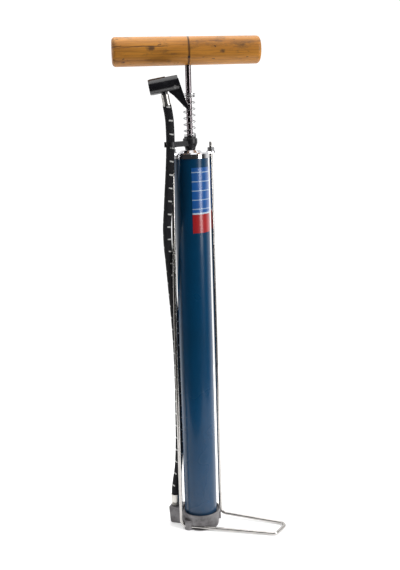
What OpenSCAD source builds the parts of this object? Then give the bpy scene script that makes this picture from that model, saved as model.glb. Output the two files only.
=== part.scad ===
// Double action hand pump with a bent-wire foot stirrup, a wooden T handle
// and a hose with a thumb-lock chuck.
// Frame: the origin is the middle of the base's underside, +Z is up the barrel,
// +X is the way the foot stirrup reaches.

/* [Barrel] */
// Outside diameter of the painted barrel
barrel_d = 38; // [37.6:0.2:38]
// Wall of the painted barrel
barrel_wall = 0.8; // [0.6:0.1:0.9]
// Height of the barrel's top edge
barrel_top = 434; // [425:1:436]
// Outside diameter of the inner cylinder that the piston runs in
cylinder_d = 33; // [32.8:0.1:33.4]
// Wall of the inner cylinder
cylinder_wall = 1; // [0.8:0.1:1.2]

/* [Base] */
// Height of the cast cup
cup_h = 19.4; // [18:0.2:22]
// Diameter of the cup's rim
cup_rim_d = 45.2; // [44.8:0.2:46]
// Diameter of the cup at the ground
cup_foot_d = 41.6; // [41:0.2:42.4]

/* [Foot stirrup] */
// Diameter of the bent wire
wire_d = 4; // [3.6:0.1:4]
// How far the middle of the stirrup's end bar is from the barrel's axis
foot_reach = 96.2; // [80:0.2:120]
// Half the length of the end bar
foot_end_half = 13.9; // [12:0.1:18]
// How far the end bar is turned out of square
foot_skew = 16; // [0:1:20]
// Radius of the stirrup's two end corners
foot_corner_r = 6; // [5:0.5:9]

/* [Plunger] */
// Diameter of the chromed rod
rod_d = 6.5; // [6:0.1:6.6]
// Height of the handle's axis with the plunger parked
handle_z = 543.4; // [540:0.2:560]
// Length of the wooden handle
handle_len = 157.6; // [120:0.4:200]
// How far the handle's middle is off the rod, towards its thicker end
handle_shift = 1.2; // [0:0.1:3]
// Diameter of the handle's thicker end
handle_d_thick = 30.4; // [29:0.2:31]
// Diameter of the handle's thinner end
handle_d_thin = 29; // [27:0.2:30]
// Turn of the handle about the rod, from the stirrup's direction
handle_yaw = 25; // [0:1:90]

/* [Buffer spring] */
// Outside diameter of the spring
spring_d = 14; // [12:0.2:14.4]
// Diameter of the spring's wire
spring_wire_d = 1.2; // [1:0.1:1.4]
// Working turns of the spring
spring_turns = 6; // [4:1:8]
// Height of the spring
spring_h = 44.2; // [35:0.2:46]

/* [Hose and chuck] */
// Diameter of the braided hose
hose_d = 9.2; // [8.6:0.2:9.2]
// Diameter of the chuck's body
chuck_d = 16.8; // [16:0.2:17]
// Bore of the chuck's rubber grommet
valve_bore_d = 7.8; // [7.6:0.1:8]

/* [Hidden] */
$fn = 64;
eps = 0.05;
bend_lap = 0.4;
bend_step = 0.03;

// Radii that follow from the driving diameters
barrel_r = barrel_d / 2;
barrel_in_r = barrel_r - barrel_wall;
cyl_r = cylinder_d / 2;
cyl_in_r = cyl_r - cylinder_wall;
rod_r = rod_d / 2;
wire_r = wire_d / 2;
hose_r = hose_d / 2;

// Base
floor_h = 6.5;          // thickness of the cup's floor
gasket_h = 1.5;
seat_z = floor_h + gasket_h;
rim_band_h = 3.4;       // height of the thicker band round the rim
cup_waist_r = 21.7;     // cup radius just under the rim band
cup_mouth_r = 21.4;     // the mouth is wider than the barrel
mouth_depth = 2.8;
boss_x = -31.2;         // the hose boss and everything screwed into it
boss_half_w = 8.5;
boss_end = -37;
boss_top = 19.8;
boss_bore_r = 4.4;
ferrule_h = 10.5;
passage_z = 4;
passage_r = 1.6;
outlet_port_x = -13;
inlet_x = 6.5;
inlet_ring = 4.5;

// The bent wire, from the far stud to the near stud
stud_top = 447.5;
wire_top = 434.9;       // above this the wire is turned down for its thread
far_stud = [17.5, 18.5];
near_stud = [-14.5, -17.5];
far_foot = [18.5, 19.6];
near_foot = [-18, -19.9];
far_foot_z = 5.6;
near_foot_z = 3.8;
foot_end_y = 5;         // the hand-bent stirrup points a little to one side
end_bar = foot_end_half * [sin(foot_skew), cos(foot_skew)];
near_bow = [-17.1, -19.5, 250];
thread_r = 1.6;
WIRE_POINTS = [
    [far_stud[0], far_stud[1], wire_top],
    [far_foot[0], far_foot[1], far_foot_z],
    [foot_reach + end_bar[0], foot_end_y + end_bar[1], wire_r],
    [foot_reach - end_bar[0], foot_end_y - end_bar[1], wire_r],
    [near_foot[0], near_foot[1], near_foot_z],
    near_bow,
    [near_stud[0], near_stud[1], wire_top]
];
WIRE_BENDS = [8, foot_corner_r, foot_corner_r, 8, 600];

// Cap, nuts and the parts at the head of the barrel
skirt_z = 431;
plate_z = 435.6;
plate_h = 1.4;
plate_top = plate_z + plate_h;
dome_h = 2.6;
dome_r = 13;
ear_r = 5;
washer_h = 0.8;
nut_h = 3.8;
nut_flats = 7;
head_z = 420;
head_gasket_h = 0.8;
packing_h = 5;

// Collar, spring and rod
collar_z = plate_top + dome_h + 0.2;
collar_r = 7.9;
collar_foot_r = 5.4;
collar_h = 12.5;
collar_lip_h = 2;
spring_z = collar_z + collar_h + collar_lip_h;
spring_top = spring_z + spring_h;
rod_bore_r = rod_r + 0.35;
clip_angle = 245.3;
clip_dist = 30.9;
clip_z = 444;
clip_h = 5.6;

// Piston
piston_z = 92;          // underside of the lower leather cup's disc
rod_end_r = 2.5;
disc_h = 3;
cup_leather_h = 9;
cup_floor_h = 2;
spacer_h = 4;
stack_h = 2 * disc_h + 2 * cup_floor_h + spacer_h;

// Chuck: its own frame has +X from the nozzle to the lever, and -Z down the hose
chuck_at = [-18.2, -30.3, 508.2];
chuck_yaw = 17.5;
chuck_tilt = 9.5;
chuck_front = -12.5;
chuck_back = 16.5;
nozzle_h = 2;
slot_front = 3.8;
slot_half = 4.2;
lever_half = 3.95;
pin_at = [12.5, -4.3];
pin_r = 1.4;
pin_half = 6.6;
pin_head_r = 1.9;
cam_r = 8.4;
neck_r = 3.4;
neck_bottom = -10;
nipple_r = 4.15;
nipple_bottom = -21.5;
grommet_r = 5.6;
grommet_l = 7;

// Hose: the points that its middle passes through, from the base to the chuck
HOSE_ROUTE = [
    [-31.2, 0, 33.6], [-30.9, 0.1, 41], [-29.4, 0.6, 52], [-27.2, 1.6, 66], [-25.8, 2.5, 84],
    [-25, 3.2, 106], [-24.7, 3.8, 128], [-24.5, 4.4, 150], [-24.4, 4.8, 172], [-24.4, 4.9, 194],
    [-24.5, 4.3, 216], [-24.7, 2.6, 238], [-24.7, -0.6, 260], [-24.5, -4.8, 280], [-24, -9.6, 300],
    [-23.6, -14.2, 320], [-23.3, -18.5, 338], [-21.9, -22.6, 358], [-19.5, -25, 376], [-17.4, -26.6, 394],
    [-15.4, -27.6, 412], [-13.8, -28.1, 430], [-12.8, -28.2, 447], [-12.6, -28.4, 460], [-12.8, -28.55, 471],
    [-13.56, -28.83, 479.1], [-14.82, -29.23, 486.99]
];
HOSE_SIDES = 10;

// ---------- helpers ----------

function unit(v) = v / norm(v);

// Four columns that carry the local axes x, y and z to a place
function placed(x, y, z, at) = [
    [x[0], y[0], z[0], at[0]],
    [x[1], y[1], z[1], at[1]],
    [x[2], y[2], z[2], at[2]],
    [0, 0, 0, 1]
];

// A direction square to d
function square_to(d) = unit(cross(d, abs(d[2]) < 0.9 ? [0, 0, 1] : [1, 0, 0]));

module ring(r_out, r_in, h) {
    difference() {
        cylinder(r = r_out, h = h);
        translate([0, 0, -1]) cylinder(r = r_in, h = h + 2);
    }
}

module rod_between(a, b, r) {
    d = unit(b - a);
    x = square_to(d);
    multmatrix(placed(x, cross(d, x), d, a)) cylinder(r = r, h = norm(b - a));
}

// Length that a bend takes from each of its straights
function bend_take(before, corner, after, bend_r) =
    let (u = unit(corner - before), v = unit(after - corner))
    bend_r * tan(acos(u * v) / 2);

module bend(before, corner, after, bend_r, r) {
    u = unit(corner - before);
    v = unit(after - corner);
    turn = acos(u * v);
    inward = unit(v - (v * u) * u);
    start = corner - bend_take(before, corner, after, bend_r) * u;
    multmatrix(placed(-inward, u, cross(-inward, u), start + bend_r * inward))
        rotate_extrude(angle = turn) translate([bend_r, 0]) circle(r = r);
}

// A round wire along straights, with a round bend at each inner point
module bent_wire(points, bends, r) {
    last = len(points) - 1;
    takes = [for (i = [0:last])
        (i == 0 || i == last) ? 0 : bend_take(points[i - 1], points[i], points[i + 1], bends[i - 1])];
    // the straights run a little way into the bends and are a hair thinner
    for (i = [0:last - 1]) {
        d = unit(points[i + 1] - points[i]);
        from = i == 0 ? 0 : takes[i] - bend_lap;
        to = i == last - 1 ? 0 : takes[i + 1] - bend_lap;
        rod_between(points[i] + from * d, points[i + 1] - to * d, r - bend_step);
    }
    for (i = [1:last - 1]) bend(points[i - 1], points[i], points[i + 1], bends[i - 1], r);
}

// A closed tube of straight-edged rings along a list of points
function ring_points(c, dir, r, sides, up) =
    let (x = unit(cross(dir, up)), y = cross(x, dir))
    [for (k = [0:sides - 1]) c + r * cos(360 * k / sides) * x + r * sin(360 * k / sides) * y];

module swept_tube(route, r, sides, up, first_dir, last_dir) {
    n = len(route);
    dirs = [for (i = [0:n - 1])
        i == 0 ? unit(first_dir) : i == n - 1 ? unit(last_dir) : unit(route[i + 1] - route[i - 1])];
    points = [for (i = [0:n - 1]) each ring_points(route[i], dirs[i], r, sides, up)];
    walls = [for (i = [0:n - 2], k = [0:sides - 1])
        [i * sides + k, (i + 1) * sides + k, (i + 1) * sides + (k + 1) % sides, i * sides + (k + 1) % sides]];
    first = [for (k = [0:sides - 1]) k];
    last = [for (k = [0:sides - 1]) n * sides - 1 - k];
    polyhedron(points = points, faces = concat(walls, [first], [last]), convexity = 6);
}

module hex_nut(flats, h, bore_r) {
    difference() {
        cylinder(d = flats / cos(30), h = h, $fn = 6);
        translate([0, 0, -1]) cylinder(r = bore_r, h = h + 2);
    }
}

module at_studs() {
    for (p = [far_stud, near_stud]) translate([p[0], p[1], 0]) children();
}

module in_chuck() {
    translate(chuck_at) rotate([0, 0, chuck_yaw]) rotate([0, -chuck_tilt, 0]) children();
}

// A cylinder along the chuck's own X axis
module along_x(r, from, to) {
    translate([from, 0, 0]) rotate([0, 90, 0]) cylinder(r = r, h = to - from);
}

// ---------- base ----------

module cup_outline() {
    polygon([
        [0, 0], [cup_foot_d / 2, 0], [cup_waist_r, cup_h - rim_band_h - 0.4],
        [cup_rim_d / 2, cup_h - rim_band_h], [cup_rim_d / 2, cup_h], [0, cup_h]
    ]);
}

module base_casting() color("#8d8b8e") difference() {
    union() {
        rotate_extrude() cup_outline();
        // hose boss, drawn in to its lower outer corner
        translate([0, boss_half_w, 0]) rotate([90, 0, 0]) linear_extrude(height = 2 * boss_half_w)
            polygon([
                [-10, 0], [boss_end + 3, 0], [boss_end + 1.4, 1.6],
                [boss_end, boss_top], [-10, boss_top]
            ]);
        // round lug on the near side that the wire runs through
        translate([-9.5, -17.3, 0]) cylinder(r = 5.4, h = 11.5);
        // post that the far leg rests against
        rotate([0, 0, 46.7]) translate([18, -3.5, 0]) cube([7.4, 7, 11.5]);
    }
    // barrel seat and the wider mouth above it
    translate([0, 0, floor_h]) cylinder(r = barrel_r + 0.1, h = cup_h);
    translate([0, 0, cup_h - mouth_depth]) cylinder(r = cup_mouth_r, h = cup_h);
    // groove along the near side for the stirrup's wire, which leaves a lip under it
    translate([-4.5, -30, near_foot_z - wire_r - 0.8]) cube([40, 30 - 16, 2 * wire_r + 0.9]);
    // the wire's own way through the lug and past the post
    bent_wire(WIRE_POINTS, WIRE_BENDS, wire_r + 0.4);
    // air recess, open at the back, and the inlet holes that rise from it
    translate([inlet_x - inlet_ring - 1.5, -5.6, -1]) cube([2 * inlet_ring + 3, 40, 2.4]);
    for (a = [0:120:240])
        translate([inlet_x + inlet_ring * cos(a), inlet_ring * sin(a), -1]) cylinder(r = 1.2, h = 12);
    translate([inlet_x, 0, -1]) cylinder(r = 1.1, h = 12);
    // outlet: up through the floor, along to the boss and up to the hose
    translate([outlet_port_x, 0, passage_z]) cylinder(r = passage_r, h = 8);
    translate([boss_x, 0, passage_z]) rotate([0, 90, 0]) cylinder(r = passage_r, h = outlet_port_x - boss_x);
    translate([boss_x, 0, passage_z]) cylinder(r = passage_r, h = 8);
    translate([boss_x, 0, floor_h]) cylinder(r = boss_bore_r, h = 20);
}

module base_gasket() color("#2a2422") translate([0, 0, floor_h]) difference() {
    ring(barrel_r, 14.8, gasket_h);
    translate([outlet_port_x, 0, -1]) cylinder(r = 2, h = 4);
}

module inlet_flap() color("#1b1b1b") translate([inlet_x, 0, floor_h]) ring(6.8, 1.15, 1);

module flap_rivet() color("#b9b4a8") translate([inlet_x, 0, 0]) {
    translate([0, 0, 1.8]) cylinder(r = 1.05, h = floor_h);
    translate([0, 0, floor_h + 1.05]) cylinder(r = 2.4, h = 1);
}

module outlet_ball() color("#c9c9cc") translate([boss_x, 0, floor_h + 2.6]) sphere(r = 3);

module outlet_spring() color("#9a9a9a") translate([boss_x, 0, floor_h + 5.7]) ring(2.4, 1.8, 2.5);

// ---------- barrel ----------

module barrel() color("#0b3a66") translate([0, 0, seat_z])
    ring(barrel_r, barrel_in_r, barrel_top - seat_z);

module inner_cylinder() color("#b79a55") difference() {
    translate([0, 0, seat_z]) ring(cyl_r, cyl_in_r, head_z + 4 - seat_z);
    // ports that let the upper chamber's air into the jacket
    for (a = [45:90:315])
        translate([0, 0, head_z - 6]) rotate([90, 0, a]) cylinder(r = 1.5, h = cyl_r + 2);
}

module transfer_sleeve() color("#26201c") translate([0, 0, head_z - 11]) ring(cyl_r + 0.7, cyl_r + 0.05, 8);

module label() color("#1c63b4") translate([0, 0, 351]) rotate([0, 0, -71])
    rotate_extrude(angle = 142) translate([barrel_r + 0.01, 0]) square([0.15, 70.5]);

// ---------- head ----------

module cylinder_head() color("#a9a9ad") difference() {
    union() {
        translate([0, 0, head_z]) cylinder(r = cyl_in_r - 0.05, h = 6);
        translate([0, 0, head_z + 4.05]) cylinder(r = barrel_in_r - 0.1, h = barrel_top - head_z - 4.05);
    }
    translate([0, 0, head_z - 1]) cylinder(r = rod_bore_r, h = 30);
    translate([0, 0, barrel_top - packing_h]) cylinder(r = 7, h = 10);
    for (a = [0:60:300])
        translate([11 * cos(a), 11 * sin(a), head_z - 1]) cylinder(r = 1.3, h = 30);
}

module head_flap() color("#1b1b1b") translate([0, 0, head_z - 1.2]) ring(13.4, 8, 1);

module rod_packing() color("#5a3a22") translate([0, 0, barrel_top - packing_h])
    ring(6.9, rod_r + 0.1, packing_h);

module head_gasket() color("#2a2422") translate([0, 0, barrel_top]) ring(barrel_r, 7.2, head_gasket_h);

module top_cap() color("#d6d6da") difference() {
    union() {
        // skirt with a rolled shoulder
        translate([0, 0, skirt_z]) cylinder(r = barrel_r + 0.7, h = plate_top - 1.2 - skirt_z);
        translate([0, 0, plate_top - 1.2]) cylinder(r1 = barrel_r + 0.7, r2 = barrel_r - 0.5, h = 1.2);
        // ears that take the studs
        at_studs() translate([0, 0, plate_z]) cylinder(r = ear_r, h = plate_h);
        for (p = [far_stud, near_stud])
            rotate([0, 0, atan2(p[1], p[0])]) translate([10, 0.4 - ear_r, plate_z - 0.3])
                cube([norm(p) - 10, 2 * ear_r - 0.8, plate_h + 0.15]);
        // raised middle
        translate([0, 0, plate_top - eps]) cylinder(r1 = dome_r, r2 = dome_r - 2.6, h = dome_h + eps);
    }
    translate([0, 0, skirt_z - 1]) cylinder(r = barrel_r + 0.1, h = barrel_top + head_gasket_h - skirt_z + 1);
    cylinder(r = rod_bore_r, h = 500);
    at_studs() translate([0, 0, plate_z - 10]) cylinder(r = thread_r + 0.2, h = 20);
    for (a = [78, 102, 126])
        translate([9 * cos(a), 9 * sin(a), plate_z - 2]) cylinder(r = 1.2, h = 10);
}

// ---------- bent tie wire and its fasteners ----------

module tie_wire() color("#cfcdca") {
    bent_wire(WIRE_POINTS, WIRE_BENDS, wire_r);
    at_studs() translate([0, 0, wire_top - 0.5]) cylinder(r = thread_r, h = stud_top - wire_top + 0.5);
}

module tie_washers() color("#c2c2c4") at_studs() translate([0, 0, plate_top])
    ring(4.6, thread_r + 0.12, washer_h);

module tie_nuts() color("#9b9b9e") at_studs() translate([0, 0, plate_top + washer_h])
    hex_nut(nut_flats, nut_h, thread_r + 0.06);

// ---------- collar and buffer ----------

module guide_collar() color("#1d1d20") difference() {
    union() {
        translate([0, 0, collar_z]) rotate_extrude() polygon([
            [0, 0], [collar_foot_r, 0], [collar_foot_r + 0.5, 2.5], [collar_r, 7],
            [collar_r, collar_h - 0.8], [collar_r - 0.8, collar_h],
            [collar_r - 1.4, collar_h], [collar_r - 1.4, collar_h + collar_lip_h],
            [0, collar_h + collar_lip_h]
        ]);
        // tapering arm out to the hose clip
        rotate([0, 0, clip_angle]) translate([0, 0, clip_z])
            linear_extrude(height = clip_h)
                polygon([[0, -4], [clip_dist - 4.5, -1.9], [clip_dist - 4.5, 1.9], [0, 4]]);
        rotate([0, 0, clip_angle]) translate([clip_dist, 0, clip_z]) cylinder(r = hose_r + 1.9, h = clip_h);
    }
    translate([0, 0, collar_z - 1]) cylinder(r = rod_bore_r, h = 30);
    // the clip is open on its outer side
    rotate([0, 0, clip_angle]) translate([clip_dist, 0, clip_z - 1]) {
        cylinder(r = hose_r + 0.3, h = clip_h + 2);
        linear_extrude(height = clip_h + 2) polygon([[0, 0], [12, -11], [12, 11]]);
    }
}

SPRING_STEPS = 14;      // rings in one turn
CLOSED_TURNS = 1;       // flat turns at each end

// Height along the spring: flat turns at both ends and a steady climb between them
function spring_rise(turn) =
    let (rise = spring_h - 2 * spring_wire_d * CLOSED_TURNS - spring_wire_d, low = spring_wire_d / 2)
    turn < CLOSED_TURNS ? low + turn * spring_wire_d :
    turn > CLOSED_TURNS + spring_turns ?
        low + rise + (turn - spring_turns) * spring_wire_d :
        low + CLOSED_TURNS * spring_wire_d + rise * (turn - CLOSED_TURNS) / spring_turns;

module buffer_spring() color("#b8b8ba") translate([0, 0, spring_z + 0.1]) {
    mean_r = (spring_d - spring_wire_d) / 2;
    total = spring_turns + 2 * CLOSED_TURNS;
    route = [for (i = [0:total * SPRING_STEPS])
        let (t = i / SPRING_STEPS) [mean_r * cos(360 * t), mean_r * sin(360 * t), spring_rise(t) * 0.99]];
    swept_tube(route, spring_wire_d / 2 - 0.02, 6, [0, 0, 1], [0, 1, 0], [0, 1, 0]);
}

module buffer_washer() color("#c2c2c4") translate([0, 0, spring_top]) ring(spring_d / 2 + 0.1, rod_bore_r, 1);

// ---------- plunger ----------

module piston_rod() color("#c8c8cc") {
    shoulder = piston_z + stack_h;
    translate([0, 0, shoulder]) cylinder(r = rod_r, h = handle_z + 6 - shoulder);
    translate([0, 0, piston_z - 8]) cylinder(r = rod_end_r, h = stack_h + 8 + eps);
}

// One half of the handle's outline, from its thicker end to its thinner end
module handle_outline() {
    round_r = 4;
    low = -handle_len / 2 - handle_shift;
    high = handle_len / 2 - handle_shift;
    difference() {
        union() {
            polygon([
                [0, low], [handle_d_thick / 2 - round_r, low], [handle_d_thick / 2, low + round_r],
                [handle_d_thin / 2, high - round_r], [handle_d_thin / 2 - round_r, high], [0, high]
            ]);
            translate([handle_d_thick / 2 - round_r, low + round_r]) circle(r = round_r);
            translate([handle_d_thin / 2 - round_r, high - round_r]) circle(r = round_r);
        }
        // turned groove round the middle
        polygon([[14.3, 0], [17, -1.1], [17, 1.1]]);
        translate([-20, low - 1]) square([20, handle_len + 2]);
    }
}

module in_handle() {
    translate([0, 0, handle_z]) rotate([0, 0, handle_yaw]) rotate([0, 90, 0]) children();
}

module handle() color("#c98a4b") difference() {
    in_handle() rotate_extrude() handle_outline();
    translate([0, 0, handle_z - 30]) cylinder(r = rod_r + 0.02, h = 36.2);
    rotate([0, 0, handle_yaw]) translate([0, -20, handle_z - 7]) rotate([-90, 0, 0])
        cylinder(r = 1.27, h = 32);
}

// Short nail through the handle from its near side, up against the rod
module handle_pin() color("#4a4744") rotate([0, 0, handle_yaw]) translate([0, 0, handle_z - 7])
    rotate([90, 0, 0]) {
    translate([0, 0, rod_r + 0.05]) cylinder(r = 1.25, h = 13.4 - rod_r);
}

module piston_disc_lower() color("#a9a9ad") translate([0, 0, piston_z]) ring(13.2, rod_end_r + 0.05, disc_h);

module leather_cup_lower() color("#7a5230")
    translate([0, 0, piston_z + disc_h - (cup_leather_h - cup_floor_h)])
    difference() {
        cylinder(r = cyl_in_r - 0.1, h = cup_leather_h);
        translate([0, 0, -1]) cylinder(r = cyl_in_r - 2, h = cup_leather_h - cup_floor_h + 1);
        cylinder(r = rod_end_r + 0.05, h = 20);
    }

module piston_spacer() color("#a9a9ad") translate([0, 0, piston_z + disc_h + cup_floor_h])
    ring(14.6, rod_end_r + 0.05, spacer_h);

module leather_cup_upper() color("#7a5230") translate([0, 0, piston_z + disc_h + cup_floor_h + spacer_h])
    difference() {
        cylinder(r = cyl_in_r - 0.1, h = cup_leather_h);
        translate([0, 0, cup_floor_h]) cylinder(r = cyl_in_r - 2, h = cup_leather_h);
        translate([0, 0, -1]) cylinder(r = rod_end_r + 0.05, h = 20);
    }

module piston_disc_upper() color("#a9a9ad") translate([0, 0, piston_z + stack_h - disc_h])
    ring(13.2, rod_end_r + 0.05, disc_h - 0.05);

module piston_washer() color("#c2c2c4") translate([0, 0, piston_z - 1.05]) ring(5, rod_end_r + 0.03, 1);

module piston_nut() color("#9b9b9e") translate([0, 0, piston_z - 5.1]) hex_nut(8, 4, rod_end_r + 0.02);

// ---------- hose ----------

module hose_nipple() color("#d9d7d0") difference() {
    union() {
        translate([boss_x, 0, boss_top - 5]) cylinder(r = boss_bore_r - 0.05, h = 6);
        translate([boss_x, 0, boss_top]) cylinder(r = 3.9, h = 3.2);
        translate([boss_x, 0, boss_top + 0.5]) cylinder(r = 4.8, h = 1.6);
    }
    translate([boss_x, 0, 0]) cylinder(r = 1.6, h = 40);
}

module hose_ferrule() color("#a8a5a0") translate([boss_x, 0, boss_top + 3.25]) difference() {
    union() {
        cylinder(r1 = 4.9, r2 = 5.3, h = 1);
        translate([0, 0, 1]) cylinder(r = 5.3, h = ferrule_h - 1);
    }
    translate([0, 0, 1]) cylinder(r = 1.6, h = 40, center = true);
}

module hose() color("#1a1a1e") swept_tube(
    HOSE_ROUTE, hose_r, HOSE_SIDES, [1, 0, 0],
    [0, 0, 1], [-sin(chuck_tilt) * cos(chuck_yaw), -sin(chuck_tilt) * sin(chuck_yaw), cos(chuck_tilt)]
);

// ---------- chuck ----------

module chuck_nipple() color("#dcdcde") in_chuck() difference() {
    union() {
        translate([0, 0, nipple_bottom + 0.05]) cylinder(r = nipple_r, h = neck_bottom - nipple_bottom - 0.1);
        translate([0, 0, nipple_bottom + 0.05]) cylinder(r = nipple_r + 0.5, h = 1.6);
    }
    translate([0, 0, -25]) cylinder(r = 1.5, h = 20);
}

module chuck_body() color("#202024") in_chuck() difference() {
    union() {
        along_x(chuck_d / 2, chuck_front, chuck_back);
        translate([0, 0, neck_bottom]) cylinder(r = neck_r, h = 8);
    }
    // room for the grommet and the plunger, then the slot for the lever
    along_x(grommet_r + 0.1, chuck_front - 1, 4);
    translate([slot_front, -slot_half, -20]) cube([40, 2 * slot_half, 40]);
    translate([pin_at[0], 20, pin_at[1]]) rotate([90, 0, 0]) cylinder(r = pin_r + 0.05, h = 40);
    // seat for the pin's head
    translate([pin_at[0], -pin_half, pin_at[1]]) rotate([90, 0, 0]) cylinder(r = pin_head_r + 0.1, h = 10);
    translate([0, 0, neck_bottom - 1]) cylinder(r = 1.5, h = 8);
}

module chuck_nozzle() color("#28282c") in_chuck() difference() {
    along_x(chuck_d / 2 - 0.3, chuck_front - nozzle_h, chuck_front);
    along_x(valve_bore_d / 2 + 0.5, chuck_front - 10, chuck_front + 1);
}

module chuck_grommet() color("#3a3632") in_chuck() difference() {
    along_x(grommet_r, chuck_front, chuck_front + grommet_l);
    along_x(valve_bore_d / 2, chuck_front - 1, chuck_front + grommet_l + 1);
}

module chuck_plunger() color("#c8b27a") in_chuck() difference() {
    along_x(grommet_r - 0.1, chuck_front + grommet_l + 0.05, 3.4);
    // cross hole that lets the air in from the neck
    translate([0, 0, -10]) cylinder(r = 1.6, h = 9.5);
}

// The lever's side view, in the chuck's own X and Z
module lever_outline() {
    cam = [for (a = [90:6:216]) pin_at + cam_r * [cos(a), sin(a)]];
    polygon(concat(cam, [
        [9.1, -12.8], [20.9, -30.6], [21.9, -32.2], [22.7, -31.6], [20.3, -19.2], [18.3, -4.3], [17.1, 4.1]
    ]));
}

module thumb_lever() color("#1b1b1f") in_chuck() difference() {
    rotate([90, 0, 0]) translate([0, 0, -lever_half]) linear_extrude(height = 2 * lever_half) lever_outline();
    translate([pin_at[0], 20, pin_at[1]]) rotate([90, 0, 0]) cylinder(r = pin_r + 0.06, h = 40);
}

module lever_pin() color("#b0b0b4") in_chuck() translate([pin_at[0], 0, pin_at[1]]) rotate([90, 0, 0]) {
    translate([0, 0, -pin_half]) cylinder(r = pin_r, h = 2 * pin_half);
    translate([0, 0, pin_half]) cylinder(r = pin_head_r, h = 0.7);
}

base_casting();
base_gasket();
barrel();
inner_cylinder();
cylinder_head();
head_gasket();
rod_packing();
top_cap();
tie_wire();
tie_nuts();
tie_washers();
label();
guide_collar();
buffer_spring();
buffer_washer();
piston_rod();
handle();
handle_pin();
piston_disc_upper();
piston_disc_lower();
piston_spacer();
leather_cup_upper();
leather_cup_lower();
piston_washer();
piston_nut();
inlet_flap();
flap_rivet();
head_flap();
outlet_ball();
outlet_spring();
transfer_sleeve();
hose_nipple();
hose_ferrule();
hose();
chuck_nipple();
chuck_body();
chuck_nozzle();
chuck_grommet();
chuck_plunger();
thumb_lever();
lever_pin();
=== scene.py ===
"""Looks of the double action hand pump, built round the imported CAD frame."""

import math

import bpy
import numpy as np
from mathutils import Matrix, Vector


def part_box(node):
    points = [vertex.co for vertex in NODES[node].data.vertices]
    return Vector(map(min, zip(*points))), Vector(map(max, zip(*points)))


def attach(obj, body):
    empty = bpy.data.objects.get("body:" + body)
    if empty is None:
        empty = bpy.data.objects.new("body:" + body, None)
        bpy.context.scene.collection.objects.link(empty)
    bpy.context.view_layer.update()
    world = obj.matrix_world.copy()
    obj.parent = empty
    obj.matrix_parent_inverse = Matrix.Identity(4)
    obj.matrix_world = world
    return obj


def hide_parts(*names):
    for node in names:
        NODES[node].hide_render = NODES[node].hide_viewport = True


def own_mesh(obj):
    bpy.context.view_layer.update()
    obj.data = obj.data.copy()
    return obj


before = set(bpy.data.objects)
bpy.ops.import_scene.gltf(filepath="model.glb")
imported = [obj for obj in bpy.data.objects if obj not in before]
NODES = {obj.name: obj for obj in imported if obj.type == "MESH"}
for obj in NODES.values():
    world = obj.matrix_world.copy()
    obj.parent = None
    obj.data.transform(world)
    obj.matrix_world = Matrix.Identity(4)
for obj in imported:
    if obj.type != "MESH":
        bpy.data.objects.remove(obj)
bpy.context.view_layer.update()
MM = 0.001

# ---------------------------------------------------------------- camera

CAMERA_POS = (0.2800, -0.8669, 0.4833)
AZIMUTH, PITCH, ROLL = math.radians(17.5), math.radians(12.0), math.radians(-1.6)
FOCAL, SENSOR_WIDTH = 52.42, 36         # millimetres
NEAREST, FURTHEST = 0.01, 50            # what the camera draws, in metres


def make_camera():
    """The photograph's viewpoint: AZIMUTH to the right of the front, looking down by PITCH."""
    sa, ca = math.sin(AZIMUTH), math.cos(AZIMUTH)
    back = Vector((sa * math.cos(PITCH), -ca * math.cos(PITCH), math.sin(PITCH)))
    right = Vector((ca, sa, 0))
    up = back.cross(right)
    rolled_right = right * math.cos(ROLL) + up * math.sin(ROLL)
    rolled_up = up * math.cos(ROLL) - right * math.sin(ROLL)
    turn = Matrix((rolled_right, rolled_up, back)).transposed()
    cam = bpy.data.objects.new("camera", bpy.data.cameras.new("camera"))
    bpy.context.scene.collection.objects.link(cam)
    cam.matrix_world = Matrix.Translation(CAMERA_POS) @ turn.to_4x4()
    cam.data.lens = FOCAL
    cam.data.sensor_width = SENSOR_WIDTH
    cam.data.clip_start, cam.data.clip_end = NEAREST, FURTHEST
    bpy.context.scene.camera = cam


# ---------------------------------------------------------------- mesh helpers

CURVE_STEPS = 40                        # samples between two points of a smoothed line


def mesh_object(name, verts, faces):
    mesh = bpy.data.meshes.new(name)
    mesh.from_pydata([tuple(v) for v in verts], [], faces)
    mesh.validate()
    mesh.update()
    mesh.polygons.foreach_set("use_smooth", [True] * len(mesh.polygons))
    obj = bpy.data.objects.new(name, mesh)
    bpy.context.scene.collection.objects.link(obj)
    return obj


def smooth_line(points, step):
    """A Catmull-Rom curve through the points, resampled every step along its length."""
    p = np.array(points, float)
    p = np.vstack([2 * p[0] - p[1], p, 2 * p[-1] - p[-2]])
    t = np.linspace(0, 1, CURVE_STEPS, endpoint=False)[:, None]
    line = []
    for a, b, c, d in zip(p, p[1:], p[2:], p[3:]):
        square = (2 * a - 5 * b + 4 * c - d) * t**2
        cube = (3 * b - a - 3 * c + d) * t**3
        line.append(0.5 * (2 * b + (c - a) * t + square + cube))
    line = np.vstack(line + [p[-2:-1]])
    along = np.concatenate([[0], np.cumsum(np.linalg.norm(np.diff(line, axis=0), axis=1))])
    wanted = np.linspace(0, along[-1], max(2, int(round(along[-1] / step)) + 1))
    return np.stack([np.interp(wanted, along, line[:, k]) for k in range(3)], 1), wanted


def frames_along(line, side):
    """Two unit vectors square to the line at each of its points, carried along without twisting."""
    tangent = np.gradient(line, axis=0)
    tangent /= np.linalg.norm(tangent, axis=1)[:, None]
    u = np.array(side, float)
    us, vs = [], []
    for t in tangent:
        u = u - t * (u @ t)
        u /= np.linalg.norm(u)
        us.append(u)
        vs.append(np.cross(t, u))
    return np.array(us), np.array(vs)


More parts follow.
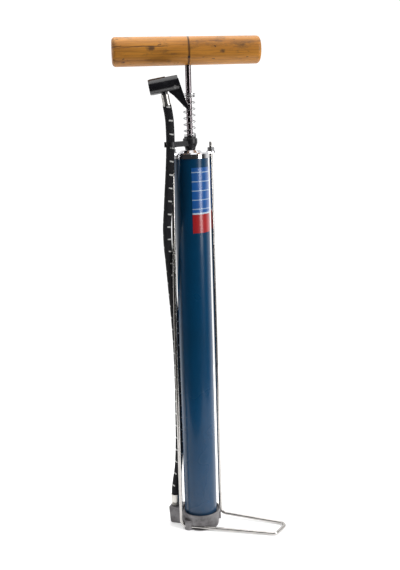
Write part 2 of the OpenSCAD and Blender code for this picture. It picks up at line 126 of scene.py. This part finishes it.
def sweep(name, line, radius, sides, side=(1, 0, 0)):
    """A tube round a line, closed at both ends. side is roughly where each ring's first point lies."""
    us, vs = frames_along(line, side)
    angle = np.linspace(0, 2 * math.pi, sides, endpoint=False)
    out, over = (np.cos(angle) * radius)[:, None], (np.sin(angle) * radius)[:, None]
    verts = [c + out * u + over * v for c, u, v in zip(line, us, vs)]
    n = len(line)
    faces = [
        (i * sides + k, i * sides + (k + 1) % sides, (i + 1) * sides + (k + 1) % sides, (i + 1) * sides + k)
        for i in range(n - 1)
        for k in range(sides)
    ]
    faces += [tuple(range(sides - 1, -1, -1)), tuple(range((n - 1) * sides, n * sides))]
    return mesh_object(name, np.vstack(verts), faces)


def add_attribute(obj, name, values):
    layer = obj.data.attributes.new(name, "FLOAT", "POINT")
    layer.data.foreach_set("value", np.asarray(values, np.float32))


# ---------------------------------------------------------------- node graph helpers


class Paint:
    """A Principled material and short names for the nodes that feed it."""

    def __init__(self, name, **values):
        self.mat = bpy.data.materials.new(name)
        self.mat.use_nodes = True
        self.tree = self.mat.node_tree
        self.bsdf = self.tree.nodes["Principled BSDF"]
        self.where = self.node("ShaderNodeTexCoord").outputs["Object"]
        for key, value in values.items():
            self.bsdf.inputs[key.replace("_", " ")].default_value = value

    def node(self, kind, **props):
        n = self.tree.nodes.new(kind)
        for key, value in props.items():
            setattr(n, key, value)
        return n

    def feed(self, socket, value):
        if isinstance(value, bpy.types.NodeSocket):
            self.tree.links.new(value, socket)
        elif hasattr(value, "__len__") and len(value) == 3 and socket.type == "RGBA":
            socket.default_value = (*value, 1)
        else:
            socket.default_value = value

    def stretched(self, scale, at=None):
        """Coordinates scaled along each axis: under 1 draws a pattern out that way."""
        n = self.node("ShaderNodeMapping")
        self.feed(n.inputs["Vector"], self.where if at is None else at)
        n.inputs["Scale"].default_value = scale
        return n.outputs[0]

    def noise(self, size, at=None, detail=4, rough=0.55, warp=0):
        """Noise whose blobs are about size metres across."""
        n = self.node("ShaderNodeTexNoise")
        self.feed(n.inputs["Vector"], self.where if at is None else at)
        n.inputs["Scale"].default_value = 0.5 / size
        n.inputs["Detail"].default_value = detail
        n.inputs["Roughness"].default_value = rough
        n.inputs["Distortion"].default_value = warp
        return n.outputs["Fac"]

    def cell_edges(self, size):
        """Distance to the nearest edge of cells about size metres across, counted in cells."""
        n = self.node("ShaderNodeTexVoronoi", feature="DISTANCE_TO_EDGE")
        self.feed(n.inputs["Vector"], self.where)
        n.inputs["Scale"].default_value = 1 / size
        return n.outputs["Distance"]

    def math(self, op, a, b=0.0):
        n = self.node("ShaderNodeMath", operation=op)
        self.feed(n.inputs[0], a)
        self.feed(n.inputs[1], b)
        return n.outputs[0]

    def span(self, value, low, high, to=(0, 1)):
        """value mapped from low..high to the two numbers in to, held at both ends."""
        n = self.node("ShaderNodeMapRange", clamp=True)
        for i, v in enumerate((value, low, high, *to)):
            self.feed(n.inputs[i], v)
        return n.outputs[0]

    def mix(self, share, a, b):
        """a where share is 0 and b where it is 1. Sockets 6, 7 and 2 are the Mix node's colours."""
        n = self.node("ShaderNodeMix", data_type="RGBA")
        self.feed(n.inputs["Factor"], share)
        self.feed(n.inputs[6], a)
        self.feed(n.inputs[7], b)
        return n.outputs[2]

    def attribute(self, name):
        return self.node("ShaderNodeAttribute", attribute_name=name).outputs["Fac"]

    def axes(self, at=None):
        n = self.node("ShaderNodeSeparateXYZ")
        self.feed(n.inputs[0], self.where if at is None else at)
        return n.outputs

    def bump(self, height, depth, strength):
        """Adds a bump of depth metres, on top of any bump that is there already."""
        n = self.node("ShaderNodeBump")
        n.inputs["Distance"].default_value = depth
        n.inputs["Strength"].default_value = strength
        self.feed(n.inputs["Height"], height)
        normal = self.bsdf.inputs["Normal"]
        if normal.is_linked:
            self.tree.links.new(normal.links[0].from_socket, n.inputs["Normal"])
        self.tree.links.new(n.outputs[0], normal)

    def colour(self, value):
        self.feed(self.bsdf.inputs["Base Color"], value)

    def rough(self, value):
        self.feed(self.bsdf.inputs["Roughness"], value)


def dress(material, *names):
    """Puts one material on the named CAD nodes or pieces."""
    for name in names:
        obj = NODES.get(name) or bpy.data.objects[name]
        obj.data.materials.clear()
        obj.data.materials.append(material)


# ---------------------------------------------------------------- metals

STAIN = (0.25, 0.2, 0.14)
SMUDGE_SHADE = 0.82                     # how much of its brightness a smudge leaves
ALONG_Z = (1, 1, 0.05)                  # scaling that draws a pattern out along Z


def plated(name, colour, roughness, stained=0.25, grain=None):
    """Metal with soft smudges and small stains. grain is a scaling that draws fine marks out one way."""
    p = Paint(name, Metallic=1.0)
    smudge = p.noise(0.009, detail=3)
    spots = p.span(p.noise(0.0022, detail=6, rough=0.7), 0.62, 0.74)
    spots = p.math("MULTIPLY", spots, stained)
    tone = p.mix(p.span(smudge, 0.3, 0.7), colour, tuple(SMUDGE_SHADE * c for c in colour))
    p.colour(p.mix(spots, tone, STAIN))
    clean = p.span(smudge, 0.3, 0.75, (roughness * 0.8, roughness * 1.4))
    p.rough(p.math("ADD", clean, p.math("MULTIPLY", spots, 0.5)))
    p.bump(p.noise(0.0006, detail=2), 0.00002, 0.5)
    if grain:
        p.bump(p.noise(0.0004, at=p.stretched(grain), detail=3), 0.00003, 0.6)
    return p.mat


def cast_metal():
    """Grey alloy as cast: cloudy patches, pits and grime on a grainy skin."""
    p = Paint("cast_alloy", Metallic=0.55, Roughness=0.5)
    patches = p.noise(0.008, detail=5)
    pits = p.span(p.noise(0.0011, detail=3), 0.58, 0.7)
    grime = p.span(p.noise(0.004, detail=6, rough=0.65), 0.5, 0.72)
    base = p.mix(p.span(patches, 0.3, 0.7), (0.25, 0.24, 0.245), (0.13, 0.125, 0.13))
    base = p.mix(p.math("MULTIPLY", grime, 0.55), base, (0.075, 0.065, 0.06))
    p.colour(p.mix(p.math("MULTIPLY", pits, 0.5), base, (0.08, 0.075, 0.07)))
    p.rough(p.span(patches, 0.3, 0.7, (0.38, 0.62)))
    p.bump(p.noise(0.0009, detail=4), 0.00016, 0.6)
    p.bump(p.noise(0.005, detail=3), 0.0004, 0.4)
    return p.mat


# ---------------------------------------------------------------- painted barrel

DUST_TOP, DUST_FULL = 0.09, 0.015       # heights where the dust starts and where it is thickest


def barrel_paint():
    """Navy paint with upright scuffs, a few chips down to the metal and dust near the foot."""
    p = Paint("navy_paint", Coat_Weight=0.15, Coat_Roughness=0.06, Specular_IOR_Level=0.25)
    cloud = p.noise(0.05, detail=3)
    base = p.mix(p.span(cloud, 0.35, 0.65), (0.0004, 0.050, 0.130), (0.0004, 0.040, 0.100))
    scuffs = p.noise(0.0012, at=p.stretched(ALONG_Z), detail=5, rough=0.7)
    scuffs = p.math("MULTIPLY", p.span(scuffs, 0.66, 0.76), p.span(p.noise(0.03), 0.45, 0.65))
    chips = p.span(p.noise(0.0012, detail=2), 0.74, 0.76)
    chips = p.math("MULTIPLY", chips, p.span(p.noise(0.02), 0.55, 0.62))
    height = p.axes()[2]
    dust = p.math("MULTIPLY", p.span(height, DUST_TOP, DUST_FULL), p.noise(0.006, detail=6, rough=0.7))
    base = p.mix(p.math("MULTIPLY", scuffs, 0.35), base, (0.10, 0.16, 0.24))
    base = p.mix(chips, base, (0.25, 0.24, 0.23))
    p.colour(p.mix(p.math("MULTIPLY", dust, 0.35), base, (0.16, 0.15, 0.15)))
    p.rough(p.math("ADD", p.span(cloud, 0.3, 0.7, (0.24, 0.32)), p.math("MULTIPLY", scuffs, 0.3)))
    p.bump(p.noise(0.0016, detail=2), 0.00003, 0.35)
    p.bump(p.math("SUBTRACT", 1.0, chips), 0.00005, 0.6)
    return p.mat


# ---------------------------------------------------------------- label

LABEL_BLUE, LABEL_RED, LABEL_PALE = (0.008, 0.10, 0.36), (0.42, 0.012, 0.014), (0.50, 0.62, 0.72)
LABEL_SPLIT = 0.30                      # share of the label's height that is red
LABEL_LINES = 5                         # level pinstripes in the blue field
LINE_HALF, LINE_INK = 0.05, 0.7         # half a pinstripe as a share of their spacing, and its strength
DIVIDER_HALF = 0.012                    # half the dividing line as a share of the label's height


def label_film():
    """A plain printed film: a blue field with level pinstripes over a red one, and a pale dividing line."""
    p = Paint("label_film", Coat_Weight=0.5, Coat_Roughness=0.15, Roughness=0.35)
    low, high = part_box("label")
    share = p.math("DIVIDE", p.math("SUBTRACT", p.axes()[2], low.z), high.z - low.z)
    ink = p.mix(p.math("LESS_THAN", share, LABEL_SPLIT), LABEL_BLUE, LABEL_RED)
    blue_share = p.math("DIVIDE", p.math("SUBTRACT", share, LABEL_SPLIT), 1 - LABEL_SPLIT)
    stripe = p.math("FRACT", p.math("MULTIPLY", blue_share, LABEL_LINES))
    thin = p.math("LESS_THAN", p.math("ABSOLUTE", p.math("SUBTRACT", stripe, 0.5)), LINE_HALF)
    thin = p.math("MULTIPLY", thin, p.math("GREATER_THAN", share, LABEL_SPLIT))
    ink = p.mix(p.math("MULTIPLY", thin, LINE_INK), ink, LABEL_PALE)
    from_split = p.math("ABSOLUTE", p.math("SUBTRACT", share, LABEL_SPLIT))
    divider = p.math("LESS_THAN", from_split, DIVIDER_HALF)
    ink = p.mix(divider, ink, LABEL_PALE)
    grime = p.math("MULTIPLY", p.span(p.noise(0.006, detail=6, rough=0.7), 0.45, 0.75), 0.25)
    ink = p.mix(grime, ink, (0.02, 0.03, 0.08))
    wear = p.span(p.noise(0.0035, detail=6, rough=0.7), 0.60, 0.75)
    p.colour(p.mix(p.math("MULTIPLY", wear, 0.25), ink, (0.25, 0.24, 0.25)))
    p.rough(p.span(wear, 0, 1, (0.3, 0.5)))
    p.bump(p.noise(0.004, detail=3), 0.00004, 0.4)
    return p.mat


# ---------------------------------------------------------------- wood

HANDLE_YAW = math.radians(25)
WORN_SPOTS = ((-0.040, 0.002, 0.0050), (0.036, -0.002, 0.0038))   # place along, height, radius
WORN_LENGTH = 0.6                       # under 1 makes a worn spot longer along the handle
CRACK_RISE, CRACK_WANDER = 0.0042, 0.0035
CRACK_EDGE, CRACK_DEEP = 0.00045, 0.0001
CRACK_ENDS = (-0.018, -0.03)            # it fades in between these, left of the rod
GROOVE_EDGE, GROOVE_DEEP = 0.0016, 0.0004
PITH_DROP, RING_GAP = 0.03, 0.0021      # growth rings are centred below the handle's axis
ENDS_FROM, ENDS_FULL = 0.0775, 0.0787   # distance from the handle's middle to its sawn ends


def handle_wood():
    """Worn wood whose grain runs along the handle; x is measured along it from the rod."""
    p = Paint("handle_wood", Coat_Weight=0.1, Coat_Roughness=0.3, Specular_IOR_Level=0.3)
    low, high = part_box("handle")
    middle = (low + high) / 2
    centre = Vector((0, 0, middle.z))
    shift = -math.hypot(middle.x, middle.y)
    turned = p.node("ShaderNodeVectorRotate", rotation_type="Z_AXIS")
    p.feed(turned.inputs["Vector"], p.where)
    turned.inputs["Center"].default_value = centre
    turned.inputs["Angle"].default_value = -HANDLE_YAW
    own = p.node("ShaderNodeVectorMath", operation="SUBTRACT")
    p.feed(own.inputs[0], turned.outputs[0])
    own.inputs[1].default_value = centre
    own = own.outputs[0]
    x, y, z = p.axes(own)
    fibres = p.noise(0.0009, at=p.stretched((0.035, 1, 1), own), detail=6, rough=0.7)
    figure = p.noise(0.006, at=p.stretched((0.09, 1, 1), own), detail=4, warp=0.6)
    tone = p.mix(p.span(figure, 0.3, 0.7), (0.78, 0.33, 0.052), (0.46, 0.175, 0.022))
    tone = p.mix(p.span(fibres, 0.48, 0.78), tone, (0.26, 0.10, 0.020))
    pores = p.span(p.noise(0.0005, at=p.stretched((0.06, 1, 1), own), detail=2), 0.66, 0.72)
    tone = p.mix(p.math("MULTIPLY", pores, 0.5), tone, (0.10, 0.04, 0.015))
    dirt = p.span(p.noise(0.009, at=p.stretched((0.45, 1, 1), own), detail=8, rough=0.75), 0.53, 0.64)
    tone = p.mix(p.math("MULTIPLY", dirt, 0.62), tone, (0.10, 0.06, 0.03))
    dents = p.span(p.noise(0.0016, at=p.stretched((0.5, 1, 1), own), detail=2), 0.64, 0.69)
    dents = p.math("MULTIPLY", dents, p.span(p.noise(0.012), 0.46, 0.56))
    tone = p.mix(p.math("MULTIPLY", dents, 0.85), tone, (0.03, 0.02, 0.012))
    # two dark worn spots, one on each side of the rod
    for along, height, reach in WORN_SPOTS:
        gap = p.node("ShaderNodeVectorMath", operation="DISTANCE")
        p.feed(gap.inputs[0], p.stretched((WORN_LENGTH, 0, 1), own))
        gap.inputs[1].default_value = (WORN_LENGTH * along, 0, height)
        ragged = p.math("ADD", gap.outputs["Value"], p.math("MULTIPLY", p.noise(0.0022, detail=5), 0.005))
        spot = p.math("MULTIPLY", p.span(ragged, reach + 0.001, reach - 0.001), p.math("LESS_THAN", y, 0.0))
        tone = p.mix(p.math("MULTIPLY", spot, 0.75), tone, (0.045, 0.035, 0.028))
    # the long split on the near side of the left half
    wander = p.noise(0.02, at=p.stretched((1, 0, 0), own))
    wander = p.math("MULTIPLY", p.math("SUBTRACT", wander, 0.5), CRACK_WANDER)
    crack = p.math("ABSOLUTE", p.math("SUBTRACT", z, p.math("ADD", wander, CRACK_RISE)))
    crack = p.math("MULTIPLY", p.span(crack, CRACK_EDGE, CRACK_DEEP), p.span(x, *CRACK_ENDS))
    crack = p.math("MULTIPLY", crack, p.math("LESS_THAN", y, 0.0))
    tone = p.mix(crack, tone, (0.02, 0.011, 0.006))
    # grime in the turned groove
    groove = p.span(p.math("ABSOLUTE", x), GROOVE_EDGE, GROOVE_DEEP)
    tone = p.mix(p.math("MULTIPLY", groove, 0.8), tone, (0.05, 0.025, 0.012))
    # growth rings on the sawn ends
    above_pith = p.math("ADD", z, PITH_DROP)
    off = p.math("ADD", p.math("MULTIPLY", y, y), p.math("MULTIPLY", above_pith, above_pith))
    rings = p.math("FRACT", p.math("DIVIDE", p.math("SQRT", off), RING_GAP))
    ends = p.span(p.math("ABSOLUTE", p.math("SUBTRACT", x, shift)), ENDS_FROM, ENDS_FULL)
    tone = p.mix(p.math("MULTIPLY", ends, p.span(rings, 0.4, 1.0, (0.15, 0.6))), tone, (0.18, 0.08, 0.03))
    p.colour(tone)
    p.rough(p.span(figure, 0.3, 0.7, (0.38, 0.55)))
    p.bump(fibres, 0.0001, 0.35)
    p.bump(p.math("SUBTRACT", 1.0, crack), 0.0006, 0.9)
    return p.mat


# ---------------------------------------------------------------- plastics, rubber, leather, felt

WORN_GREY = (0.06, 0.06, 0.065)


def moulded(name, colour, roughness, coat=0.0):
    """Plastic or rubber with dust and short scuffs, both greying it."""
    p = Paint(name, Coat_Weight=coat)
    dust = p.noise(0.006, detail=6, rough=0.7)
    scuff = p.span(p.noise(0.0016, at=p.stretched((1, 0.4, 0.4)), detail=5, rough=0.7), 0.6, 0.74)
    tone = p.mix(p.math("MULTIPLY", p.span(dust, 0.5, 0.75), 0.3), colour, WORN_GREY)
    p.colour(p.mix(p.math("MULTIPLY", scuff, 0.35), tone, WORN_GREY))
    clean = p.span(dust, 0.3, 0.7, (roughness * 0.85, roughness * 1.2))
    p.rough(p.math("ADD", clean, p.math("MULTIPLY", scuff, 0.12)))
    p.bump(p.noise(0.0007, detail=2), 0.00004, 0.5)
    return p.mat


def leather():
    p = Paint("leather", Roughness=0.5, Sheen_Weight=0.1)
    p.colour(p.mix(p.span(p.noise(0.004, detail=5), 0.3, 0.7), (0.16, 0.075, 0.032), (0.075, 0.035, 0.016)))
    p.rough(p.span(p.noise(0.003), 0.3, 0.7, (0.35, 0.6)))
    p.bump(p.span(p.cell_edges(0.0011), 0.0, 0.25), 0.00012, 0.6)
    return p.mat


def felt():
    p = Paint("packing_felt", Roughness=0.9, Sheen_Weight=0.3)
    fibres = p.noise(0.0004, detail=6, rough=0.8, warp=1.0)
    p.colour(p.mix(fibres, (0.13, 0.08, 0.05), (0.05, 0.03, 0.02)))
    p.bump(fibres, 0.0003, 0.6)
    return p.mat


# ---------------------------------------------------------------- hose

HOSE_D = 9.2 * MM
HOSE_STEP, HOSE_SIDES = 1.5, 32         # millimetres between rings, and points round one
HOSE_ROUTE = [                          # the centre line in millimetres, from the base to the chuck
    (-31.2, 0, 33.6), (-30.9, 0.1, 41), (-29.4, 0.6, 52), (-27.2, 1.6, 66), (-25.8, 2.5, 84),
    (-25, 3.2, 106), (-24.7, 3.8, 128), (-24.5, 4.4, 150), (-24.4, 4.8, 172), (-24.4, 4.9, 194),
    (-24.5, 4.3, 216), (-24.7, 2.6, 238), (-24.7, -0.6, 260), (-24.5, -4.8, 280), (-24, -9.6, 300),
    (-23.6, -14.2, 320), (-23.3, -18.5, 338), (-21.9, -22.6, 358), (-19.5, -25, 376), (-17.4, -26.6, 394),
    (-15.4, -27.6, 412), (-13.8, -28.1, 430), (-12.8, -28.2, 447), (-12.6, -28.4, 460), (-12.8, -28.55, 471),
    (-13.56, -28.83, 479.1), (-14.82, -29.23, 486.99),
]
TRACER_TURNS, TRACER_GROWTH = 66.2, 6.05   # a metre at the base, and how much closer they lie further up
TRACER_PHASE = 0.05
BAND_EDGE, BAND_FULL = 0.062, 0.045     # half the tracer's width, as a share of its spacing
# dashes a turn; where the first sits and half its width, in turns; its lean; its soft edge
DASHES, DASH_TURN, DASH_HALF, DASH_SLOPE, DASH_FADE = 3, 1.01, 0.085, 0.35, 0.012
STRANDS, LAY = 12, 0.022                # ridges round the hose, and metres in which they go round once
HOSE_TWIST = 0.36                       # turns a metre


def hose_material():
    """Diagonal braid of black yarn with one white tracer yarn that shows as short dashes."""
    p = Paint("hose_braid", Specular_IOR_Level=0.25)
    turn, along = p.attribute("turn"), p.attribute("along")
    lean = p.math("DIVIDE", along, LAY)
    one = p.math("SINE", p.math("MULTIPLY", p.math("ADD", turn, lean), 2 * math.pi * STRANDS))
    two = p.math("SINE", p.math("MULTIPLY", p.math("SUBTRACT", turn, lean), 2 * math.pi * STRANDS))
    weave = p.math("MAXIMUM", one, two)
    fuzz = p.noise(0.0005, detail=5, rough=0.7)
    base = p.mix(p.span(weave, -0.4, 0.9), (0.002, 0.002, 0.003), (0.012, 0.012, 0.016))
    base = p.mix(p.span(p.noise(0.012, detail=4), 0.5, 0.8, (0, 0.35)), base, (0.035, 0.032, 0.032))
    # the tracer comes up DASHES times a turn, and each dash lies nearly level
    twisted = p.math("ADD", turn, p.math("MULTIPLY", along, HOSE_TWIST))
    from_dash = p.math("SUBTRACT", twisted, DASH_TURN)
    nearest = p.math("DIVIDE", p.math("ROUND", p.math("MULTIPLY", from_dash, DASHES)), DASHES)
    off_dash = p.math("SUBTRACT", from_dash, nearest)
    lean_in = p.math("ADD", nearest, p.math("MULTIPLY", off_dash, DASH_SLOPE))
    a_metre = p.math("ADD", p.math("MULTIPLY", along, TRACER_GROWTH), TRACER_TURNS)
    wound = p.math("ADD", p.math("MULTIPLY", along, a_metre), TRACER_PHASE)
    # the 4 whole turns keep the number FRACT is given above zero
    helix = p.math("FRACT", p.math("ADD", p.math("ADD", lean_in, 4.0), wound))
    band = p.span(p.math("ABSOLUTE", p.math("SUBTRACT", helix, 0.5)), BAND_EDGE, BAND_FULL)
    shown = p.span(p.math("ABSOLUTE", off_dash), DASH_HALF, DASH_HALF - DASH_FADE)
    tracer = p.math("MULTIPLY", band, shown)
    p.colour(p.mix(tracer, base, (0.72, 0.72, 0.70)))
    p.rough(p.span(fuzz, 0.3, 0.7, (0.55, 0.8)))
    p.bump(weave, 0.00035, 0.9)
    p.bump(fuzz, 0.00015, 0.5)
    p.bump(tracer, 0.0002, 0.8)
    return p.mat


def make_hose():
    line, along = smooth_line(HOSE_ROUTE, HOSE_STEP)
    line, along = line * MM, along * MM
    hose = sweep("braided_hose", line, HOSE_D / 2, HOSE_SIDES)
    add_attribute(hose, "along", np.repeat(along, HOSE_SIDES))
    add_attribute(hose, "turn", np.tile(np.arange(HOSE_SIDES) / HOSE_SIDES, len(line)))
    dress(hose_material(), "braided_hose")
    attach(hose, "pump")
    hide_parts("hose")


# ---------------------------------------------------------------- springs

SPRING_STEPS, SPRING_SIDES = 40, 10     # points along a turn, and round the wire


def coil_spring(node, wire, closed, working):
    """A round-wire spring in the place of the CAD's coarse one.

    closed is the turns lying flat at each end, and working the open turns between them.
    """
    low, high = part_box(node)
    centre_x, centre_y = (low.x + high.x) / 2, (low.y + high.y) / 2
    mean = (high.x - low.x - wire) / 2
    total = working + 2 * closed
    turns = np.linspace(0, total, int(total * SPRING_STEPS) + 1)
    climb = high.z - low.z - wire * (1 + 2 * closed)
    rise = np.where(
        turns < closed,
        turns * wire,
        np.where(
            turns > closed + working,
            climb + (turns - working) * wire,
            closed * wire + climb * (turns - closed) / working,
        ),
    )
    angle = 2 * math.pi * turns
    across, deep = centre_x + mean * np.cos(angle), centre_y + mean * np.sin(angle)
    line = np.stack([across, deep, low.z + wire / 2 + rise], 1)
    spring = sweep(node + "_wire", line, wire / 2, SPRING_SIDES, side=(0, 0, 1))
    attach(spring, "pump")
    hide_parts(node)
    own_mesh(spring)


def make_springs():
    coil_spring(
        "buffer_spring",
        wire=1.2 * MM, closed=1.0, working=6.0,
    )
    coil_spring(
        "outlet_spring",
        wire=0.5 * MM, closed=0.5, working=1.5,
    )


# ---------------------------------------------------------------- light and floor

FLOOR_SIZE, FLOOR_BACK = 0.9, 0.15      # ends near the front, so only the barrel's foot mirrors it
FLOOR_GLOW = 0.3
ROOM_DIM, ROOM_WHITE = 0.04, 1.15       # strength behind the camera and behind the object
ROOM_DIM_TO, ROOM_WHITE_FROM = 0.1, 0.6
ROOM_SEEN = 1.1                         # strength of the plain white the camera itself sees
OBJECT_MIDDLE = (0, 0, 0.28)
# where each lamp is, where it points, its size and its power
OVERHEAD = ((0.1, 0.1, 2.2), (0, 0, 0), (2.6, 2.6), 42)
STRIP_LEFT = ((-1.15, -0.75, 0.75), OBJECT_MIDDLE, (0.12, 1.3), 5)
STRIP_RIGHT = ((1.25, -0.25, 0.7), OBJECT_MIDDLE, (0.45, 1.3), 13)


def area_light(name, at, aim, size, power):
    data = bpy.data.lights.new(name, "AREA")
    data.shape = "RECTANGLE"
    data.size, data.size_y = size
    data.energy = power
    lamp = bpy.data.objects.new(name, data)
    bpy.context.scene.collection.objects.link(lamp)
    lamp.location = at
    lamp.rotation_euler = (Vector(aim) - Vector(at)).to_track_quat("-Z", "Y").to_euler()


def make_studio():
    bpy.context.scene.view_settings.view_transform = "Standard"
    bpy.ops.mesh.primitive_plane_add(size=FLOOR_SIZE, location=(0, FLOOR_BACK, 0))
    floor = bpy.context.object
    floor.name = "floor"
    p = Paint("floor_white", Roughness=0.7, Emission_Color=(1, 1, 1, 1), Emission_Strength=FLOOR_GLOW)
    p.colour((0.95, 0.95, 0.95))
    floor.data.materials.append(p.mat)
    # the object sees a white room with a dim side behind the camera, which gives the metal its
    # dark cores, and the camera sees plain white
    world = bpy.data.worlds.new("studio")
    bpy.context.scene.world = world
    world.use_nodes = True
    tree = world.node_tree
    background = tree.nodes["Background"]
    background.inputs["Color"].default_value = (1, 1, 1, 1)
    coord = tree.nodes.new("ShaderNodeTexCoord")
    facing = tree.nodes.new("ShaderNodeVectorMath")
    facing.operation = "DOT_PRODUCT"
    facing.inputs[1].default_value = (-math.sin(AZIMUTH), math.cos(AZIMUTH), 0)
    ramp = tree.nodes.new("ShaderNodeMapRange")
    for i, value in enumerate((0.0, ROOM_DIM_TO, ROOM_WHITE_FROM, ROOM_DIM, ROOM_WHITE)):
        ramp.inputs[i].default_value = value
    tree.links.new(coord.outputs["Generated"], facing.inputs[0])
    tree.links.new(facing.outputs["Value"], ramp.inputs[0])
    seen = tree.nodes.new("ShaderNodeLightPath")
    pick = tree.nodes.new("ShaderNodeMix")
    tree.links.new(seen.outputs["Is Camera Ray"], pick.inputs["Factor"])
    tree.links.new(ramp.outputs[0], pick.inputs["A"])
    pick.inputs["B"].default_value = ROOM_SEEN
    tree.links.new(pick.outputs["Result"], background.inputs["Strength"])
    area_light("overhead", *OVERHEAD)
    area_light("strip_left", *STRIP_LEFT)
    area_light("strip_right", *STRIP_RIGHT)


# ---------------------------------------------------------------- everything


def dress_nodes():
    chrome = plated("chrome", (0.62, 0.62, 0.64), 0.14)
    zinc = plated("zinc", (0.50, 0.50, 0.51), 0.32, stained=0.5)
    dress(barrel_paint(), "barrel")
    dress(label_film(), "label")
    dress(cast_metal(), "base_casting")
    dress(chrome, "top_cap")
    dress(plated("rod_chrome", (0.20, 0.175, 0.185), 0.14, stained=0.6, grain=ALONG_Z), "piston_rod")
    dress(plated("wire_chrome", (0.56, 0.54, 0.52), 0.2, stained=0.6), "tie_wire")
    dress(zinc, "tie_nuts", "tie_washers", "buffer_washer", "piston_washer", "piston_nut", "flap_rivet")
    spring_steel = plated("spring_steel", (0.5, 0.5, 0.51), 0.25, stained=0.5)
    dress(spring_steel, "buffer_spring_wire", "outlet_spring_wire")
    dress(plated("ball_steel", (0.62, 0.62, 0.64), 0.08, stained=0.1), "outlet_ball")
    fittings = plated("fitting_metal", (0.66, 0.64, 0.60), 0.28, stained=0.6)
    dress(fittings, "hose_nipple", "hose_ferrule", "chuck_nipple")
    dress(plated("pin_steel", (0.80, 0.80, 0.80), 0.4), "lever_pin")
    dress(plated("dark_steel", (0.10, 0.09, 0.085), 0.45, stained=0.8), "handle_pin")
    dress(plated("cylinder_brass", (0.62, 0.44, 0.18), 0.25, grain=ALONG_Z), "inner_cylinder")
    dress(plated("plunger_brass", (0.60, 0.43, 0.18), 0.3), "chuck_plunger")
    turned = plated("turned_alloy", (0.60, 0.60, 0.62), 0.3, grain=(0.1, 0.1, 1))
    dress(turned, "cylinder_head", "piston_disc_upper", "piston_disc_lower", "piston_spacer")
    dress(handle_wood(), "handle")
    dress(moulded("collar_plastic", (0.010, 0.010, 0.012), 0.42), "guide_collar")
    dress(moulded("chuck_plastic", (0.006, 0.006, 0.009), 0.28, coat=0.6), "chuck_body", "chuck_nozzle")
    dress(moulded("lever_plastic", (0.006, 0.006, 0.008), 0.3, coat=0.5), "thumb_lever")
    dress(moulded("grommet_rubber", (0.03, 0.027, 0.025), 0.7), "chuck_grommet")
    dress(moulded("gasket", (0.03, 0.026, 0.023), 0.75), "base_gasket", "head_gasket", "transfer_sleeve")
    dress(moulded("valve_rubber", (0.02, 0.02, 0.02), 0.6), "inlet_flap", "head_flap")
    dress(leather(), "leather_cup_upper", "leather_cup_lower")
    dress(felt(), "rod_packing")


make_camera()
make_hose()
make_springs()
dress_nodes()
make_studio()
